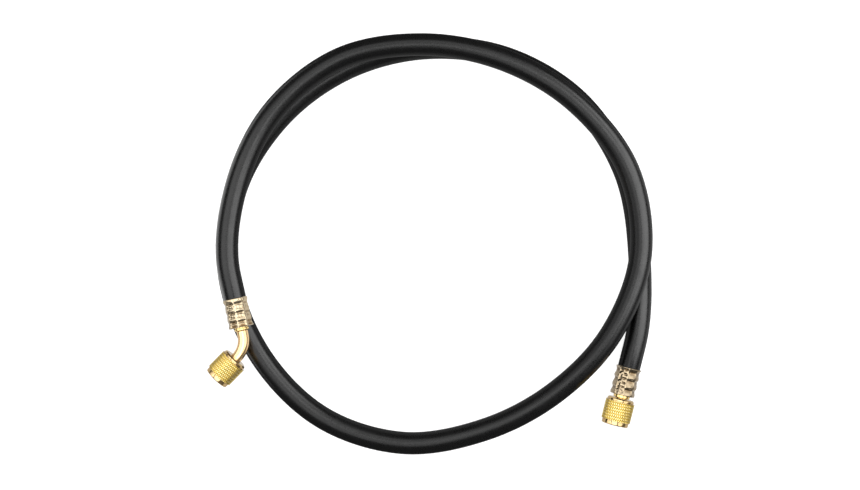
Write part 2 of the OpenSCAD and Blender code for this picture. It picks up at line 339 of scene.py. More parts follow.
def brass(name, clean, aged_and_shaded, roughness, amount=0.4, line_height=0.000004, patch=0.004, grooves=False):
    """Bright metal with a drift of tone, turning lines and, in grooves, a darker colour painted as
    shade.
    """
    made, tree, shader = new_material(name)
    place = object_coordinates(tree)
    tone = use(tree, TARNISH, Vector=place, Clean=(*clean, 1), Aged=(*aged_and_shaded, 1), Patch_Size=patch,
               Amount=amount, Depth=groove_depth(tree) if grooves else 0.0)
    lines = use(tree, TOOL_LINES, UV=uv_coordinates(tree), Pitch=0.00018)
    pits = use(tree, GRAIN, Vector=place, Size=0.0007, Detail=3.0)
    height = calc(tree, "ADD", lines["Height"], calc(tree, "MULTIPLY", pits["Height"], 0.6))
    dress(tree, shader, tone["Colour"], calc(tree, "ADD", tone["Roughness"], roughness), height,
          line_height)
    shader.inputs["Metallic"].default_value = 1.0
    return made


def knurled_brass(name, crest, flank_painted_bounce, root_painted_shade):
    """Knurled brass coloured by depth in the knurl: paler crests, flanks of a saturated yellow that is
    painted light bounced between the teeth, and roots darkened as painted shade.
    """
    made, tree, shader = new_material(name)
    place = object_coordinates(tree)
    depth = groove_depth(tree)
    tone = use(tree, TARNISH, Vector=place, Clean=(*flank_painted_bounce, 1), Aged=(*root_painted_shade, 1), Patch_Size=0.003,
               Amount=0.15, Depth=remap(tree, depth, 0.4, 0.75))
    pits = use(tree, GRAIN, Vector=place, Size=0.0005, Detail=3.0)
    dress(tree, shader, blend(tree, remap(tree, depth, 0.05, 0.3), crest, tone["Colour"]),
          remap(tree, depth, 0.1, 0.6, 0.16, 0.36), pits["Height"], 0.000004)
    shader.inputs["Metallic"].default_value = 1.0
    return made


RUBBER = hose_rubber()
BRAID = braid_textile()
TUBE_RUBBER = plain_rubber("tube_rubber", 0.03, 0.6)
GASKET_RUBBER = plain_rubber("gasket_rubber", 0.012, 0.45)
NYLON = nylon()
NUT_BRASS = brass("nut_brass", (0.6, 0.43, 0.21), (0.48, 0.32, 0.14), 0.1)
# Crest, flank and root colours: the flank's saturation is painted bounce light, the root's darkness
# painted shade.
KNURL_BRASS = knurled_brass("knurl_brass", (0.92, 0.8, 0.5), (0.77, 0.565, 0.11), (0.27, 0.16, 0.03))
TURNED_BRASS = brass("turned_brass", (0.88, 0.64, 0.26), (0.72, 0.46, 0.14), 0.12)
BENT_TUBE_BRASS = brass("tube_brass", (0.9, 0.62, 0.32), (0.74, 0.45, 0.18), 0.15, amount=0.2)
# The platings' second tones are also the painted shade in the crimps' grooves.
BENT_PLATING = brass("bent_ferrule_plating", (0.58, 0.48, 0.325), (0.2, 0.12, 0.05), 0.17,
                     line_height=0.00001, patch=0.002, grooves=True)
STRAIGHT_PLATING = brass("straight_ferrule_plating", (0.4, 0.32, 0.213), (0.13, 0.08, 0.033), 0.12,
                         line_height=0.000015, patch=0.002, grooves=True)


# ==== mesh helpers
SHARP_ANGLE = radians(40)
WELD, NO_LENGTH = 1e-7, 1e-8    # in metres: points that are one, and edges that are none
ARC_STEPS = 5                   # in a fillet
FILLET_REACH = 0.49             # the most of a side that one fillet takes


def finish_piece(mesh, material, body, slot, replaced=None):
    """Makes a piece of a mesh: its material, its smooth shading and its body. The slot is not used."""
    piece = bpy.data.objects.new(mesh.name, mesh)
    bpy.context.collection.objects.link(piece)
    mesh.materials.clear()
    mesh.materials.append(material)
    mesh.shade_smooth()
    mesh.set_sharp_from_angle(angle=SHARP_ANGLE)
    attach(piece, body)
    if replaced:
        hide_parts(replaced)
    return piece


def ring_mesh(name, rings, uvs, groove=None):
    """A closed surface through rings of points. The last ring joins the first."""
    count = len(rings[0])
    mesh = bpy.data.meshes.new(name)
    faces = []
    for j in range(len(rings)):
        here, after = j * count, (j + 1) % len(rings) * count
        for k in range(count):
            beside = (k + 1) % count
            faces.append((here + k, here + beside, after + beside, after + k))
    mesh.from_pydata([MM * p for ring in rings for p in ring], [], faces)
    layer = mesh.uv_layers.new(name="surface")
    for j in range(len(rings)):
        for k in range(count):
            corners = ((j, k), (j, k + 1), (j + 1, k + 1), (j + 1, k))
            for corner, (row, column) in enumerate(corners):
                layer.data[4 * (j * count + k) + corner].uv = uvs(row, column)
    if groove:
        values = mesh.attributes.new("groove", "FLOAT", "POINT")
        values.data.foreach_set("value", groove)
    tidy(mesh)
    return mesh


def running_lengths(points):
    """How far along a line of points each point is."""
    lengths = [0.0]
    for a, b in zip(points, points[1:]):
        lengths.append(lengths[-1] + (b - a).length)
    return lengths


def shell_lengths(points, wall):
    """The same for a tube's rings: out along its outside, over its end and back inside."""
    lengths = running_lengths(points)
    return lengths + [2 * lengths[-1] + wall - x for x in reversed(lengths)] + [0.0]


def tidy(mesh):
    """Closes poles and points every face outwards."""
    work = bmesh.new()
    work.from_mesh(mesh)
    bmesh.ops.remove_doubles(work, verts=work.verts, dist=WELD)
    bmesh.ops.dissolve_degenerate(work, edges=work.edges, dist=NO_LENGTH)
    bmesh.ops.recalc_face_normals(work, faces=work.faces)
    work.to_mesh(mesh)
    work.free()
    mesh.validate()


class End:
    """A place on a fitting's axis: s runs along it, and angle 0 points up."""

    def __init__(self, start, heading):
        self.start = start
        self.axis = along(heading)
        self.side = UP.cross(self.axis)

    def point(self, s, r, angle):
        return self.start + s * self.axis + r * (cos(angle) * UP + sin(angle) * self.side)

    def matrix(self):
        """Turns a piece modelled along +Z, in metres, to lie here."""
        columns = (self.side, -UP, self.axis)
        turn = Matrix([[c[i] for c in columns] for i in range(3)]).to_4x4()
        return Matrix.Translation(MM * self.start) @ turn


def rounded(outline):
    """The points of an (s, r, fillet) outline, with each fillet as an arc."""
    points = []
    for i, (s, r, fillet) in enumerate(outline):
        here = Vector((s, r))
        if not fillet:
            points.append(here)
            continue
        before = Vector(outline[i - 1][:2]) - here
        after = Vector(outline[(i + 1) % len(outline)][:2]) - here
        half = acos(max(-1, min(1, before.normalized().dot(after.normalized())))) / 2
        run = min(fillet / tan(half), FILLET_REACH * before.length, FILLET_REACH * after.length)
        start, end = here + run * before.normalized(), here + run * after.normalized()
        for k in range(ARC_STEPS + 1):
            t = k / ARC_STEPS
            points.append((1 - t)**2 * start + 2 * t * (1 - t) * here + t**2 * end)
    return points


def turned(name, end, outline, segments=96):
    """A closed turned piece from its (s, r, fillet) outline."""
    points = rounded(outline)
    rings = [[end.point(p.x, p.y, 2 * pi * k / segments) for k in range(segments)] for p in points]
    lengths = running_lengths(points + points[:1])

    def uvs(row, column):
        return (MM * points[row % len(points)].y * 2 * pi * column / segments, MM * lengths[row])

    return ring_mesh(name, rings, uvs)


# ==== hose layers
BENT_FERRULE_L = 16.5
STRAIGHT_FERRULE_L = 16.0
MOUTH_TAPER = 1.3           # the length over which a ferrule's mouth squeezes the hose
INSIDE_DEPTHS = (0.2, MOUTH_TAPER * 0.5, MOUTH_TAPER, 3, 7, 11)
SPAN_STEPS = 14
FREE_ROUTE = route_points(SPAN_STEPS)


def hose_route():
    """Stations along the whole hose: point, direction and depth inside a ferrule."""
    bent, straight = along(BENT_HEADING), along(STRAIGHT_HEADING)
    stations = [(BENT_MOUTH + depth * bent, -bent, depth)
                for depth in (BENT_FERRULE_L - END_WALL, *reversed(INSIDE_DEPTHS))]
    for i, p in enumerate(FREE_ROUTE):
        before, after = FREE_ROUTE[max(i - 1, 0)], FREE_ROUTE[min(i + 1, len(FREE_ROUTE) - 1)]
        direction = (after - before).normalized()
        if i in (0, 1):
            direction = -bent
        if i >= len(FREE_ROUTE) - 2:
            direction = straight
        stations.append((p, direction, 0))
    stations += [(STRAIGHT_MOUTH + depth * straight, straight, depth)
                 for depth in (*INSIDE_DEPTHS, STRAIGHT_FERRULE_L - END_WALL)]
    return stations


def rest_on_floor(p, softness=0.5):
    """Presses the underside flat where the hose lies on the floor, with a soft edge."""
    if p.z < softness:
        t = max(p.z, -softness)
        p.z = (t + softness)**2 / (4 * softness)
    return p


def hose_layer(name, outer_d, inner_d, crimped_d, sides):
    """One layer of the hose, from ferrule to ferrule."""
    stations = hose_route()

    def ring(p, direction, r):
        side = direction.cross(UP).normalized()
        up = side.cross(direction)
        turns = [2 * pi * k / sides - pi / 2 for k in range(sides)]
        return [rest_on_floor(p + r * (cos(a) * side + sin(a) * up)) for a in turns]

    def outer_radius(depth):
        t = ease(depth / MOUTH_TAPER)
        return (outer_d + (crimped_d - outer_d) * t) / 2

    outer = [ring(p, d, outer_radius(depth)) for p, d, depth in stations]
    inner = [ring(p, d, inner_d / 2) for p, d, _ in reversed(stations)]
    lengths = shell_lengths([p for p, _, _ in stations], wall=2)

    def uvs(row, column):
        return (MM * outer_d * pi * column / sides, MM * lengths[row])

    return ring_mesh(name, outer + inner, uvs)


HOSE_LAYERS = (
    # piece, outer and inner diameter, diameter in a ferrule, sides, material, slot, CAD node
    ("hose_cover_rubber", HOSE_D, BRAID_D, CRIMPED_D, 48, RUBBER, "cover_rubber", "hose_cover"),
    ("hose_braid_textile", BRAID_D, INNER_TUBE_D, BRAID_D, 32, BRAID, "braid_textile", "hose_braid"),
    ("hose_inner_tube_rubber", INNER_TUBE_D, BARRIER_D, INNER_TUBE_D, 32, TUBE_RUBBER, "tube_rubber",
     "hose_inner_tube"),
    ("hose_barrier_nylon", BARRIER_D, BORE_D, BARRIER_D, 32, NYLON, "barrier_nylon", "hose_barrier"),
)
cover, *inner_layers = [finish_piece(hose_layer(*shape), material, "hose", slot, node)
                        for *shape, material, slot, node in HOSE_LAYERS]

# ==== crimped ferrules
CRIMPS = 8
FACE = 360 / CRIMPS
STEPS_PER_CRIMP = 26
ROW_PITCH = 0.11
CORNER_BLEND = 4            # degrees over which one face runs into the next
SHOULDER_WIDTH = 10.2       # degrees beside a ridge where the metal is drawn up to it
SHOULDER_PULL = 0.35
FLATNESS = 0.45             # how flat a jaw leaves a face, up to 1
EDGE_ROUND = 0.25
WIDE_DENTS, FINE_DENTS = (2.2, 0.42), (6, 1.1)  # their noise's scale round the shell and along it
FINE_SHARE = 0.45
CROWN_REACH = 1.2           # how far along the shell a groove's depth is judged from
GROOVE_START, GROOVE_SPAN = 0.4, 0.6    # the depths where the painted groove shade begins and how fast it is full
INSIDE_PAINTED_SHADE = 0.8         # painted shade on the unseen inside
SHELL_R = 6.8
STEM_HOLE_R = 3.95
END_FACE_R = 4.6            # where the closed end's flat begins
SQUEEZE_GAP = 0.02          # between the shell and the rubber it squeezes


def smooth_curve(keys):
    """A smooth function through (position, value) keys, held level outside them."""
    def value(s):
        if s <= keys[0][0]:
            return keys[0][1]
        for i in range(len(keys) - 1):
            (s0, v0), (s1, v1) = keys[i], keys[i + 1]
            if s <= s1:
                before = keys[max(i - 1, 0)]
                after = keys[min(i + 2, len(keys) - 1)]
                return hermite((s - s0) / (s1 - s0),
                               v0, (v1 - before[1]) / (s1 - before[0]) * (s1 - s0),
                               v1, (after[1] - v0) / (after[0] - s0) * (s1 - s0))
        return keys[-1][1]
    return value


def ferrule(name, end, length, faces, ridge, ridge_half_width, dents, serration, seed):
    """A crimped shell.

    faces are (first angle, ridge strength there, profile) round the shell, and serration is
    (middle, half length, depth, teeth on a face, phase) for each band of small teeth.
    """
    starts = [face[0] for face in faces]
    profiles = [smooth_curve(face[2]) for face in faces]
    ridge = smooth_curve(ridge)
    columns = CRIMPS * STEPS_PER_CRIMP
    rows = int(length / ROW_PITCH)
    rings, groove = [], []
    jaw_rows = [[profile(length * j / rows) for profile in profiles] for j in range(rows + 1)]

    def face_at(angle):
        """The face at an angle, how far into it that is, its width and the nearer ridge."""
        turned_by = (angle - starts[0]) % 360
        for i in range(len(starts) - 1, -1, -1):
            first = starts[i] - starts[0]
            if turned_by >= first:
                width = (starts[(i + 1) % len(starts)] - starts[i]) % 360
                nearer = i if turned_by - first < width / 2 else (i + 1) % len(starts)
                return i, turned_by - first, width, nearer
        raise ValueError(angle)

    for j in range(rows + 1):
        s = length * j / rows
        edge = min(s, length - s)
        crown = max(ridge(s), ridge(max(s - CROWN_REACH, 0)), ridge(min(s + CROWN_REACH, length)))
        ring = []
        for k in range(columns):
            angle = 2 * pi * k / columns
            i, into, width, nearer = face_at(angle * 180 / pi)
            away = min(into, width - into)
            beyond = i - 1 if nearer == i else (i + 1) % len(faces)
            share = 0.5 * exp(-(away / CORNER_BLEND)**2)
            pressed = (1 - share) * jaw_rows[j][i] + share * jaw_rows[j][beyond]
            on_ridge = faces[nearer][1] * exp(-(away / ridge_half_width)**2)
            near_ridge = faces[nearer][1] * exp(-(away / SHOULDER_WIDTH)**2)
            flat = 1 / cos(radians(min(width / 2 - away, FACE / 2))) - 1
            pressed *= 1 + FLATNESS * flat
            pressed += SHOULDER_PULL * near_ridge * (ridge(s) - pressed)
            r = pressed + on_ridge * (ridge(s) - pressed)
            for middle, half_length, depth, teeth, phase in serration:
                window = exp(-((s - middle) / half_length)**4) * (1 - near_ridge)
                r -= depth * window * (0.5 + 0.5 * cos(2 * pi * (teeth * into / width + phase)))
            turn, lift = WIDE_DENTS
            wide = Vector((turn * cos(angle) + seed, turn * sin(angle), s * lift))
            turn, lift = FINE_DENTS
            fine = Vector((turn * cos(angle), turn * sin(angle) + seed, s * lift))
            r += dents * (noise.noise(wide) + FINE_SHARE * noise.noise(fine))
            r -= EDGE_ROUND * max(0, 1 - edge / EDGE_ROUND)**2
            ring.append(end.point(s, r, angle))
            # How far under the nearby crowns a point lies, which the plating darkens as painted shade.
            groove.append(max(0, min(1, (crown - r - GROOVE_START) / GROOVE_SPAN)))
        rings.append(ring)
    squeezed_r = CRIMPED_D / 2 + SQUEEZE_GAP
    inner = ((length, END_FACE_R), (length, STEM_HOLE_R), (length - END_WALL, STEM_HOLE_R),
             (length - END_WALL, squeezed_r), (MOUTH_TAPER + 0.1, squeezed_r),
             (MOUTH_TAPER * 0.5, (CRIMPED_D + HOSE_D) / 4 + 2 * SQUEEZE_GAP),
             (0.1, HOSE_D / 2 + SQUEEZE_GAP))
    for s, r in inner:
        rings.append([end.point(s, r, 2 * pi * k / columns) for k in range(columns)])
        groove += [INSIDE_PAINTED_SHADE] * columns

    def uvs(row, column):
        return (MM * SHELL_R * 2 * pi * column / columns, MM * length * row / rows)

    return ring_mesh(name, rings, uvs, groove)


BENT_END = End(BENT_MOUTH, BENT_HEADING)
STRAIGHT_END = End(STRAIGHT_MOUTH, STRAIGHT_HEADING)
CREST_R = 6.9               # a face is struck deeper from here down


def shifted(keys, along_by, deeper):
    """The same face profile, struck a little further along and deeper."""
    return [(s + along_by if 0 < i < len(keys) - 1 else s, r - deeper * (CREST_R - r))
            for i, (s, r) in enumerate(keys)]


BENT_FACE = ((0, 6.74), (0.5, 6.89), (1.2, 6.92), (1.8, 6.78), (2.6, 6.29), (3.2, 6), (3.6, 6.09),
             (4.15, 6.4), (4.6, 6.46), (5.5, 6.3), (5.85, 6.38), (6.4, 6.62), (7, 6.57), (7.8, 6.15),
             (8.35, 5.96), (8.8, 6.12), (9.3, 6.38), (9.7, 6.44), (10.6, 6.29), (10.95, 6.41),
             (11.55, 6.64), (12.2, 6.56), (13, 6.09), (13.5, 5.95), (13.9, 6.08), (14.3, 6.33),
             (14.7, 6.38), (15.5, 6.29), (15.8, 6.41), (16.15, 6.86), (16.5, 6.9))
BENT_RIDGE = ((0, 6.8), (1, 6.9), (2.2, 6.75), (3.5, 6.47), (4.6, 6.58), (6.3, 6.8), (7.4, 6.69),
              (8.4, 6.47), (9.6, 6.6), (11.4, 6.95), (12.5, 6.84), (13.5, 6.61), (14.6, 6.79),
              (16.5, 7.3))
BENT_TURN = -6              # degrees from the top to the first face
# How much further along and how much deeper each face was struck than the first.
BENT_STRIKES = ((0, 0), (0.1, 0.06), (-0.1, -0.05), (0.05, 0.1), (0, 0.02), (-0.12, 0.05), (0.1, -0.04),
                (-0.05, 0.04))
bent_faces = [(BENT_TURN + FACE * i, 1, shifted(BENT_FACE, *strike))
              for i, strike in enumerate(BENT_STRIKES)]
bent_ferrule = finish_piece(
    ferrule("bent_ferrule_shell", BENT_END, BENT_FERRULE_L, bent_faces, BENT_RIDGE,
            ridge_half_width=4.6, dents=0.035,
            serration=((5.0, 0.75, 0.12, 3, 0), (8.3, 0.9, 0.16, 2, 0.5), (10.0, 0.75, 0.12, 3, 0),
                       (14.9, 0.6, 0.05, 2, 0)), seed=3.1),
    BENT_PLATING, "hose", "bent_ferrule_plating", "bent_end_ferrule")

STRAIGHT_FACE = ((0, 7.15), (0.5, 7.0), (1.2, 6.5), (2.0, 6.1), (2.6, 6.02), (3.1, 6.15), (4.0, 6.5),
                 (5.0, 6.85), (5.6, 6.9), (6.1, 6.72), (6.8, 6.2), (7.3, 6.0), (7.9, 6.15), (9.0, 6.5),
                 (10.2, 6.85), (10.9, 6.88), (11.4, 6.7), (12.1, 6.15), (12.6, 6.0), (13.1, 6.2),
                 (14.0, 6.55), (15.1, 6.82), (15.8, 6.8), (16, 6.7))
PILLOWS = (2.6, 5.2, 7.7, 10.1, 12.4)
PILLOW_KEYS = ((-1.3, 6.05), (-0.45, 6.5), (0.2, 6.68), (0.6, 6.5))
TWICE_STRUCK_FACE = ((0, 7.0), (0.7, 6.6),
                     *((middle + s, r) for middle in PILLOWS for s, r in PILLOW_KEYS),
                     (13.8, 6.3), (14.6, 6.5), (15.3, 6.75), (16, 6.7))
FIRST_STRUCK_FACE = ((0, 7.1), (1.0, 6.7), (1.8, 6.15), (2.3, 6.1), (3.0, 6.6), (3.6, 6.65), (5.4, 6.5),
                     (6.6, 6.2), (7.1, 6.1), (7.8, 6.6), (8.4, 6.65), (10.4, 6.5), (11.8, 6.15),
                     (12.3, 6.1), (12.9, 6.5), (13.6, 6.6), (15.2, 6.75), (16, 6.7))
STRAIGHT_RIDGE = ((0, 7.2), (1.0, 7.0), (2.2, 6.75), (3.4, 6.65), (4.7, 6.98), (6.2, 6.85), (7.4, 6.65),
                  (8.6, 6.85), (9.6, 7.0), (11.4, 6.88), (12.6, 6.65), (13.6, 6.85), (14.6, 7.0),
                  (16, 6.8))
STRAIGHT_TURN = -4
STRAIGHT_STRIKES = ((0, 0), (0.15, 0.05), (-0.2, 0.1), (0.1, -0.05), (0.25, 0.08), (-0.1, 0),
                    (-0.2, 0.06))
STRAIGHT_RIDGES = (1, 1, 0.45, 1, 1, 1, 0.45)
SECOND_STRIKE_TURN = 21     # degrees from the last face's start to where it was struck again
straight_faces = [(STRAIGHT_TURN + FACE * i, strength, shifted(STRAIGHT_FACE, *strike))
                  for i, (strength, strike) in enumerate(zip(STRAIGHT_RIDGES, STRAIGHT_STRIKES))]
straight_faces += [(STRAIGHT_TURN + FACE * 7, 1, FIRST_STRUCK_FACE),
                   (STRAIGHT_TURN + FACE * 7 + SECOND_STRIKE_TURN, 0.6, TWICE_STRUCK_FACE)]
straight_ferrule = finish_piece(
    ferrule("straight_ferrule_shell", STRAIGHT_END, STRAIGHT_FERRULE_L, straight_faces,
            STRAIGHT_RIDGE, ridge_half_width=3.0, dents=0.07,
            serration=((13.4, 0.5, 0.06, 4, 0),), seed=8.4),
    STRAIGHT_PLATING, "hose", "straight_ferrule_plating", "straight_end_ferrule")

# ==== bent end: stem collar, tube, seal
TUBE_R = 3.175
TUBE_BORE_R = 2.175
BEND_ANGLE = 57
BEND_R = 14.0
CORNER_L = 12.1
NUT_SETBACK = 8.0
BACK_WALL = 4.0
END_PLAY = 0.3
FLANGE_R = 4.6
FLANGE_L = 1.9
GASKET_L = 1.2
GASKET_BORE_R = 2.5
GASKET_DISH = 0.15          # how deep the channel in its face is
COLLAR_L = 2.2
COLLAR_R = 4.1
TUBE_SEAT = 0.2             # how far past the ferrule the tube begins
TUBE_IN_NOSE = 0.9
STEM_BORE_R = 1.6
BARB_R = 2.65
BARB_ROOT_R = 2.25
TAIL_START = 1.2
BARB_PITCH = 3.0
BARBS = 4
BARB_CREST = 0.8            # where on its pitch a barb is highest
STEM_WAIST_R = 3.9          # through the ferrule's end wall
BEND_STEPS = 28

BENT_CORNER = BENT_MOUTH + (BENT_FERRULE_L + CORNER_L) * along(BENT_HEADING)
NUT_HEADING = BENT_HEADING - BEND_ANGLE
TANGENT_L = BEND_R * tan(radians(BEND_ANGLE / 2))
BENT_FLANGE_S = NUT_SETBACK + BACK_WALL + END_PLAY
TUBE_END_S = BENT_FLANGE_S + TUBE_IN_NOSE
BENT_NUT_END = End(BENT_CORNER, NUT_HEADING)


def tail(length):
    """The barbed part of a stem, from the bore's far end to the ferrule's end wall."""
    outline = [(TAIL_START, STEM_BORE_R, 0)]
    for i in range(BARBS):
        s = TAIL_START + i * BARB_PITCH
        crest = s + BARB_CREST * BARB_PITCH
        outline += [(s, BARB_ROOT_R, 0), (crest, BARB_R, 0.1), (crest, BARB_ROOT_R, 0)]
    wall = length - END_WALL
    return outline + [(wall, BARB_ROOT_R, 0), (wall, STEM_WAIST_R, 0), (length, STEM_WAIST_R, 0)]


# The collar's outline, from the ferrule's end on.
COLLAR = ((0, COLLAR_R - 0.5, 0), (0.55, COLLAR_R - 0.5, 0.05), (0.6, COLLAR_R, 0.15),
          (1.55, COLLAR_R, 0.2), (2.1, TUBE_R + 0.25, 0.12), (COLLAR_L, TUBE_R + 0.1, 0.05),
          (COLLAR_L, TUBE_R, 0), (TUBE_SEAT, TUBE_R, 0), (TUBE_SEAT, STEM_BORE_R, 0))
bent_stem = finish_piece(
    turned("bent_stem_turned", BENT_END,
           tail(BENT_FERRULE_L) + [(BENT_FERRULE_L + s, r, fillet) for s, r, fillet in COLLAR]),
    TURNED_BRASS, "hose", "turned_brass", "bent_end_stem")


def bent_tube(name, sides=72):
    """The brass tube, swept along its straight ends and its bend."""
    heading, turn_at = along(BENT_HEADING), along(BENT_HEADING - 90)
    start = BENT_MOUTH + (BENT_FERRULE_L + TUBE_SEAT) * heading
    bend_start = BENT_CORNER - TANGENT_L * heading
    centre = bend_start + BEND_R * turn_at
    stations = [(start + t * (bend_start - start), heading) for t in (0, 0.5)]
    for k in range(BEND_STEPS + 1):
        turn = BEND_ANGLE * k / BEND_STEPS
        stations.append((centre - BEND_R * along(BENT_HEADING - 90 - turn), along(BENT_HEADING - turn)))
    for s in (TANGENT_L + 1, TUBE_END_S):
        stations.append((BENT_CORNER + s * along(NUT_HEADING), along(NUT_HEADING)))

    def ring(p, direction, r):
        side = UP.cross(direction)
        return [p + r * (cos(2 * pi * k / sides) * UP + sin(2 * pi * k / sides) * side)
                for k in range(sides)]

    rings = [ring(p, d, TUBE_R) for p, d in stations]
    rings += [ring(p, d, TUBE_BORE_R) for p, d in reversed(stations)]
    lengths = shell_lengths([p for p, _ in stations], wall=1)

    def uvs(row, column):
        return (MM * TUBE_R * 2 * pi * column / sides, MM * lengths[row])

    return ring_mesh(name, rings, uvs)


finish_piece(bent_tube("bent_brass_tube"), BENT_TUBE_BRASS, "hose", "tube_brass", "bent_end_tube")
finish_piece(
    turned("bent_seal_nose", BENT_NUT_END,
           [(BENT_FLANGE_S, TUBE_R, 0), (BENT_FLANGE_S, FLANGE_R, 0.15),
            (BENT_FLANGE_S + FLANGE_L, FLANGE_R, 0.2), (BENT_FLANGE_S + FLANGE_L, TUBE_BORE_R, 0.15),
            (TUBE_END_S, TUBE_BORE_R, 0), (TUBE_END_S, TUBE_R, 0)]),
    TURNED_BRASS, "hose", "turned_brass", "bent_end_nose")


def gasket(name, end, s, node):
    """A flat seal with a shallow channel round its face."""
    face, channel = s + GASKET_L, s + GASKET_L - GASKET_DISH
    outline = [(s, GASKET_BORE_R, 0.1), (s, FLANGE_R, 0.15), (face, FLANGE_R, 0.3), (face, 3.9, 0.1),
               (channel, 3.7, 0.1), (channel, 3.2, 0.1), (face, 3.0, 0.1), (face, GASKET_BORE_R, 0.3)]
    finish_piece(turned(name, end, outline), GASKET_RUBBER, "hose", "gasket_rubber", node)


gasket("bent_seal_ring", BENT_NUT_END, BENT_FLANGE_S + FLANGE_L, "bent_end_gasket")

# ==== straight end: stem and seal
SHOULDER_L = 1.6
SHOULDER_R = 4.7
STRAIGHT_NECK_R = 3.5
STRAIGHT_NUT_S = STRAIGHT_FERRULE_L + SHOULDER_L + END_PLAY
STRAIGHT_FLANGE_S = STRAIGHT_NUT_S + BACK_WALL + END_PLAY

straight_stem = finish_piece(
    turned("straight_stem_turned", STRAIGHT_END,
           tail(STRAIGHT_FERRULE_L)
           + [(STRAIGHT_FERRULE_L, SHOULDER_R, 0.1), (STRAIGHT_FERRULE_L + SHOULDER_L, SHOULDER_R, 0.35),
              (STRAIGHT_FERRULE_L + SHOULDER_L, STRAIGHT_NECK_R, 0.1),
              (STRAIGHT_FLANGE_S, STRAIGHT_NECK_R, 0.1), (STRAIGHT_FLANGE_S, FLANGE_R, 0.15),
              (STRAIGHT_FLANGE_S + FLANGE_L, FLANGE_R, 0.2),
              (STRAIGHT_FLANGE_S + FLANGE_L, STEM_BORE_R, 0.2)]),
    TURNED_BRASS, "hose", "turned_brass", "straight_end_stem")
gasket("straight_seal_ring", STRAIGHT_END, STRAIGHT_FLANGE_S + FLANGE_L, "straight_end_gasket")

# ==== valve depressor
PIN_R = 0.65
PIN_PAST_FLANGE = 1.8
ARMS = 3
ARM_SIZE = (2.075, 1.0, 0.8)    # outwards, across and along the pin
ARM_ROUND = 0.08


def depressor(name):
    """A turned pin on three rounded arms."""
    start = TUBE_END_S + 0.1
    top = BENT_FLANGE_S + FLANGE_L + PIN_PAST_FLANGE
    pin = turned(name, BENT_NUT_END, [(start, 0, 0), (start, PIN_R, 0.1), (top - 0.3, PIN_R, 0.1),
                                      (top, PIN_R - 0.2, 0.15), (top, 0, 0)], segments=32)
    work = bmesh.new()
    work.from_mesh(pin)
    sized = Matrix.Diagonal((*ARM_SIZE, 1)) @ Matrix.Translation((0.5, 0, 0.5))
    placed = BENT_NUT_END.matrix() @ Matrix.Scale(MM, 4) @ Matrix.Translation((0, 0, start))
    for i in range(ARMS):
        arm = bmesh.ops.create_cube(work, size=1)["verts"]
        turn = Matrix.Rotation(2 * pi * i / ARMS, 4, "Z")
        bmesh.ops.transform(work, verts=arm, matrix=placed @ turn @ sized)
        edges = list({edge for vertex in arm for edge in vertex.link_edges})
        bmesh.ops.bevel(work, geom=edges, offset=ARM_ROUND * MM, segments=2, affect="EDGES")
    work.to_mesh(pin)
    work.free()
    return pin


finish_piece(depressor("valve_depressor"), TURNED_BRASS, "hose", "turned_brass", "bent_end_depressor")

# ==== swivel nuts
THREAD_MINOR_R = 4.9
THREAD_MAJOR_R = 5.56
THREAD_PITCH = 1.27
RELIEF_R = 5.7
RELIEF_L = 4.6
MOUTH_CHAMFER = 0.7
REAR_RIM_L = 1.9
FRONT_RIM_L = 2.6
RIM_STEP = 0.65
KNURL_DEPTH = 0.25
TOOTH_ROOT = KNURL_DEPTH + 0.02     # how far under the nut's outside the teeth begin
BAND_DROP = KNURL_DEPTH + 0.03      # and how far under it the plain band is
KNURL_ROWS = 6
TOOTH_BASE, TOOTH_FLAT = 0.5, 0.12  # radii of a tooth's base and crest, in teeth
SWIVEL_GAP = 0.08
THREAD_STEPS = 96                   # in a turn
RIDGE_BASE, RIDGE_CREST = 0.42, 0.08    # half widths of the thread's ridge, in pitches
RIDGE_SINK = 0.1                    # how far its foot is sunk in the wall, in ridge heights
THREAD_LEAD = 0.5                   # plain bore before the thread
THREAD_MARGIN = 0.9                 # plain bore before and after it


def nut_body(name, end, s, d, knurl_l, hole_r):
    """The turned nut: rims, the band under the knurl, and the bore under the thread.

    s is where its back is along the fitting, and d is its diameter over the knurl.
    """
    rim = d / 2 - RIM_STEP
    band = d / 2 - BAND_DROP
    front = s + REAR_RIM_L + knurl_l
    length = REAR_RIM_L + knurl_l + FRONT_RIM_L
    thread_start = s + BACK_WALL + RELIEF_L
    outline = [(s, hole_r, 0.1), (s, rim - 0.75, 0.1), (s + 0.75, rim, 0.2),
               (s + REAR_RIM_L - 0.35, rim, 0.05), (s + REAR_RIM_L - 0.25, rim - 0.25, 0.05),
               (s + REAR_RIM_L, rim - 0.25, 0.05), (s + REAR_RIM_L + 0.1, band, 0.08),
               (front - 0.1, band, 0.08), (front, rim - 0.2, 0.05), (front + 0.25, rim - 0.2, 0.05),
               (front + 0.35, rim, 0.08), (s + length - 0.45, rim, 0.2),
               (s + length, rim - 0.35, 0.2), (s + length, THREAD_MINOR_R + MOUTH_CHAMFER, 0.15),
               (s + length - MOUTH_CHAMFER, THREAD_MAJOR_R, 0.05), (thread_start, THREAD_MAJOR_R, 0.05),
               (thread_start, RELIEF_R, 0.05), (s + BACK_WALL, RELIEF_R, 0.2),
               (s + BACK_WALL, hole_r, 0.1)]
    return turned(name, end, outline, segments=128)


def geometry_tree(name, inputs):
    """An empty Geometry Nodes tree with named inputs and one geometry output."""
    tree = bpy.data.node_groups.new(name, "GeometryNodeTree")
    tree.interface.new_socket("Geometry", in_out="OUTPUT", socket_type="NodeSocketGeometry")
    for socket, kind in inputs.items():
        tree.interface.new_socket(socket, in_out="INPUT", socket_type="NodeSocket" + kind)
    given = tree.nodes.new("NodeGroupInput").outputs
    return tree, given, tree.nodes.new("NodeGroupOutput")


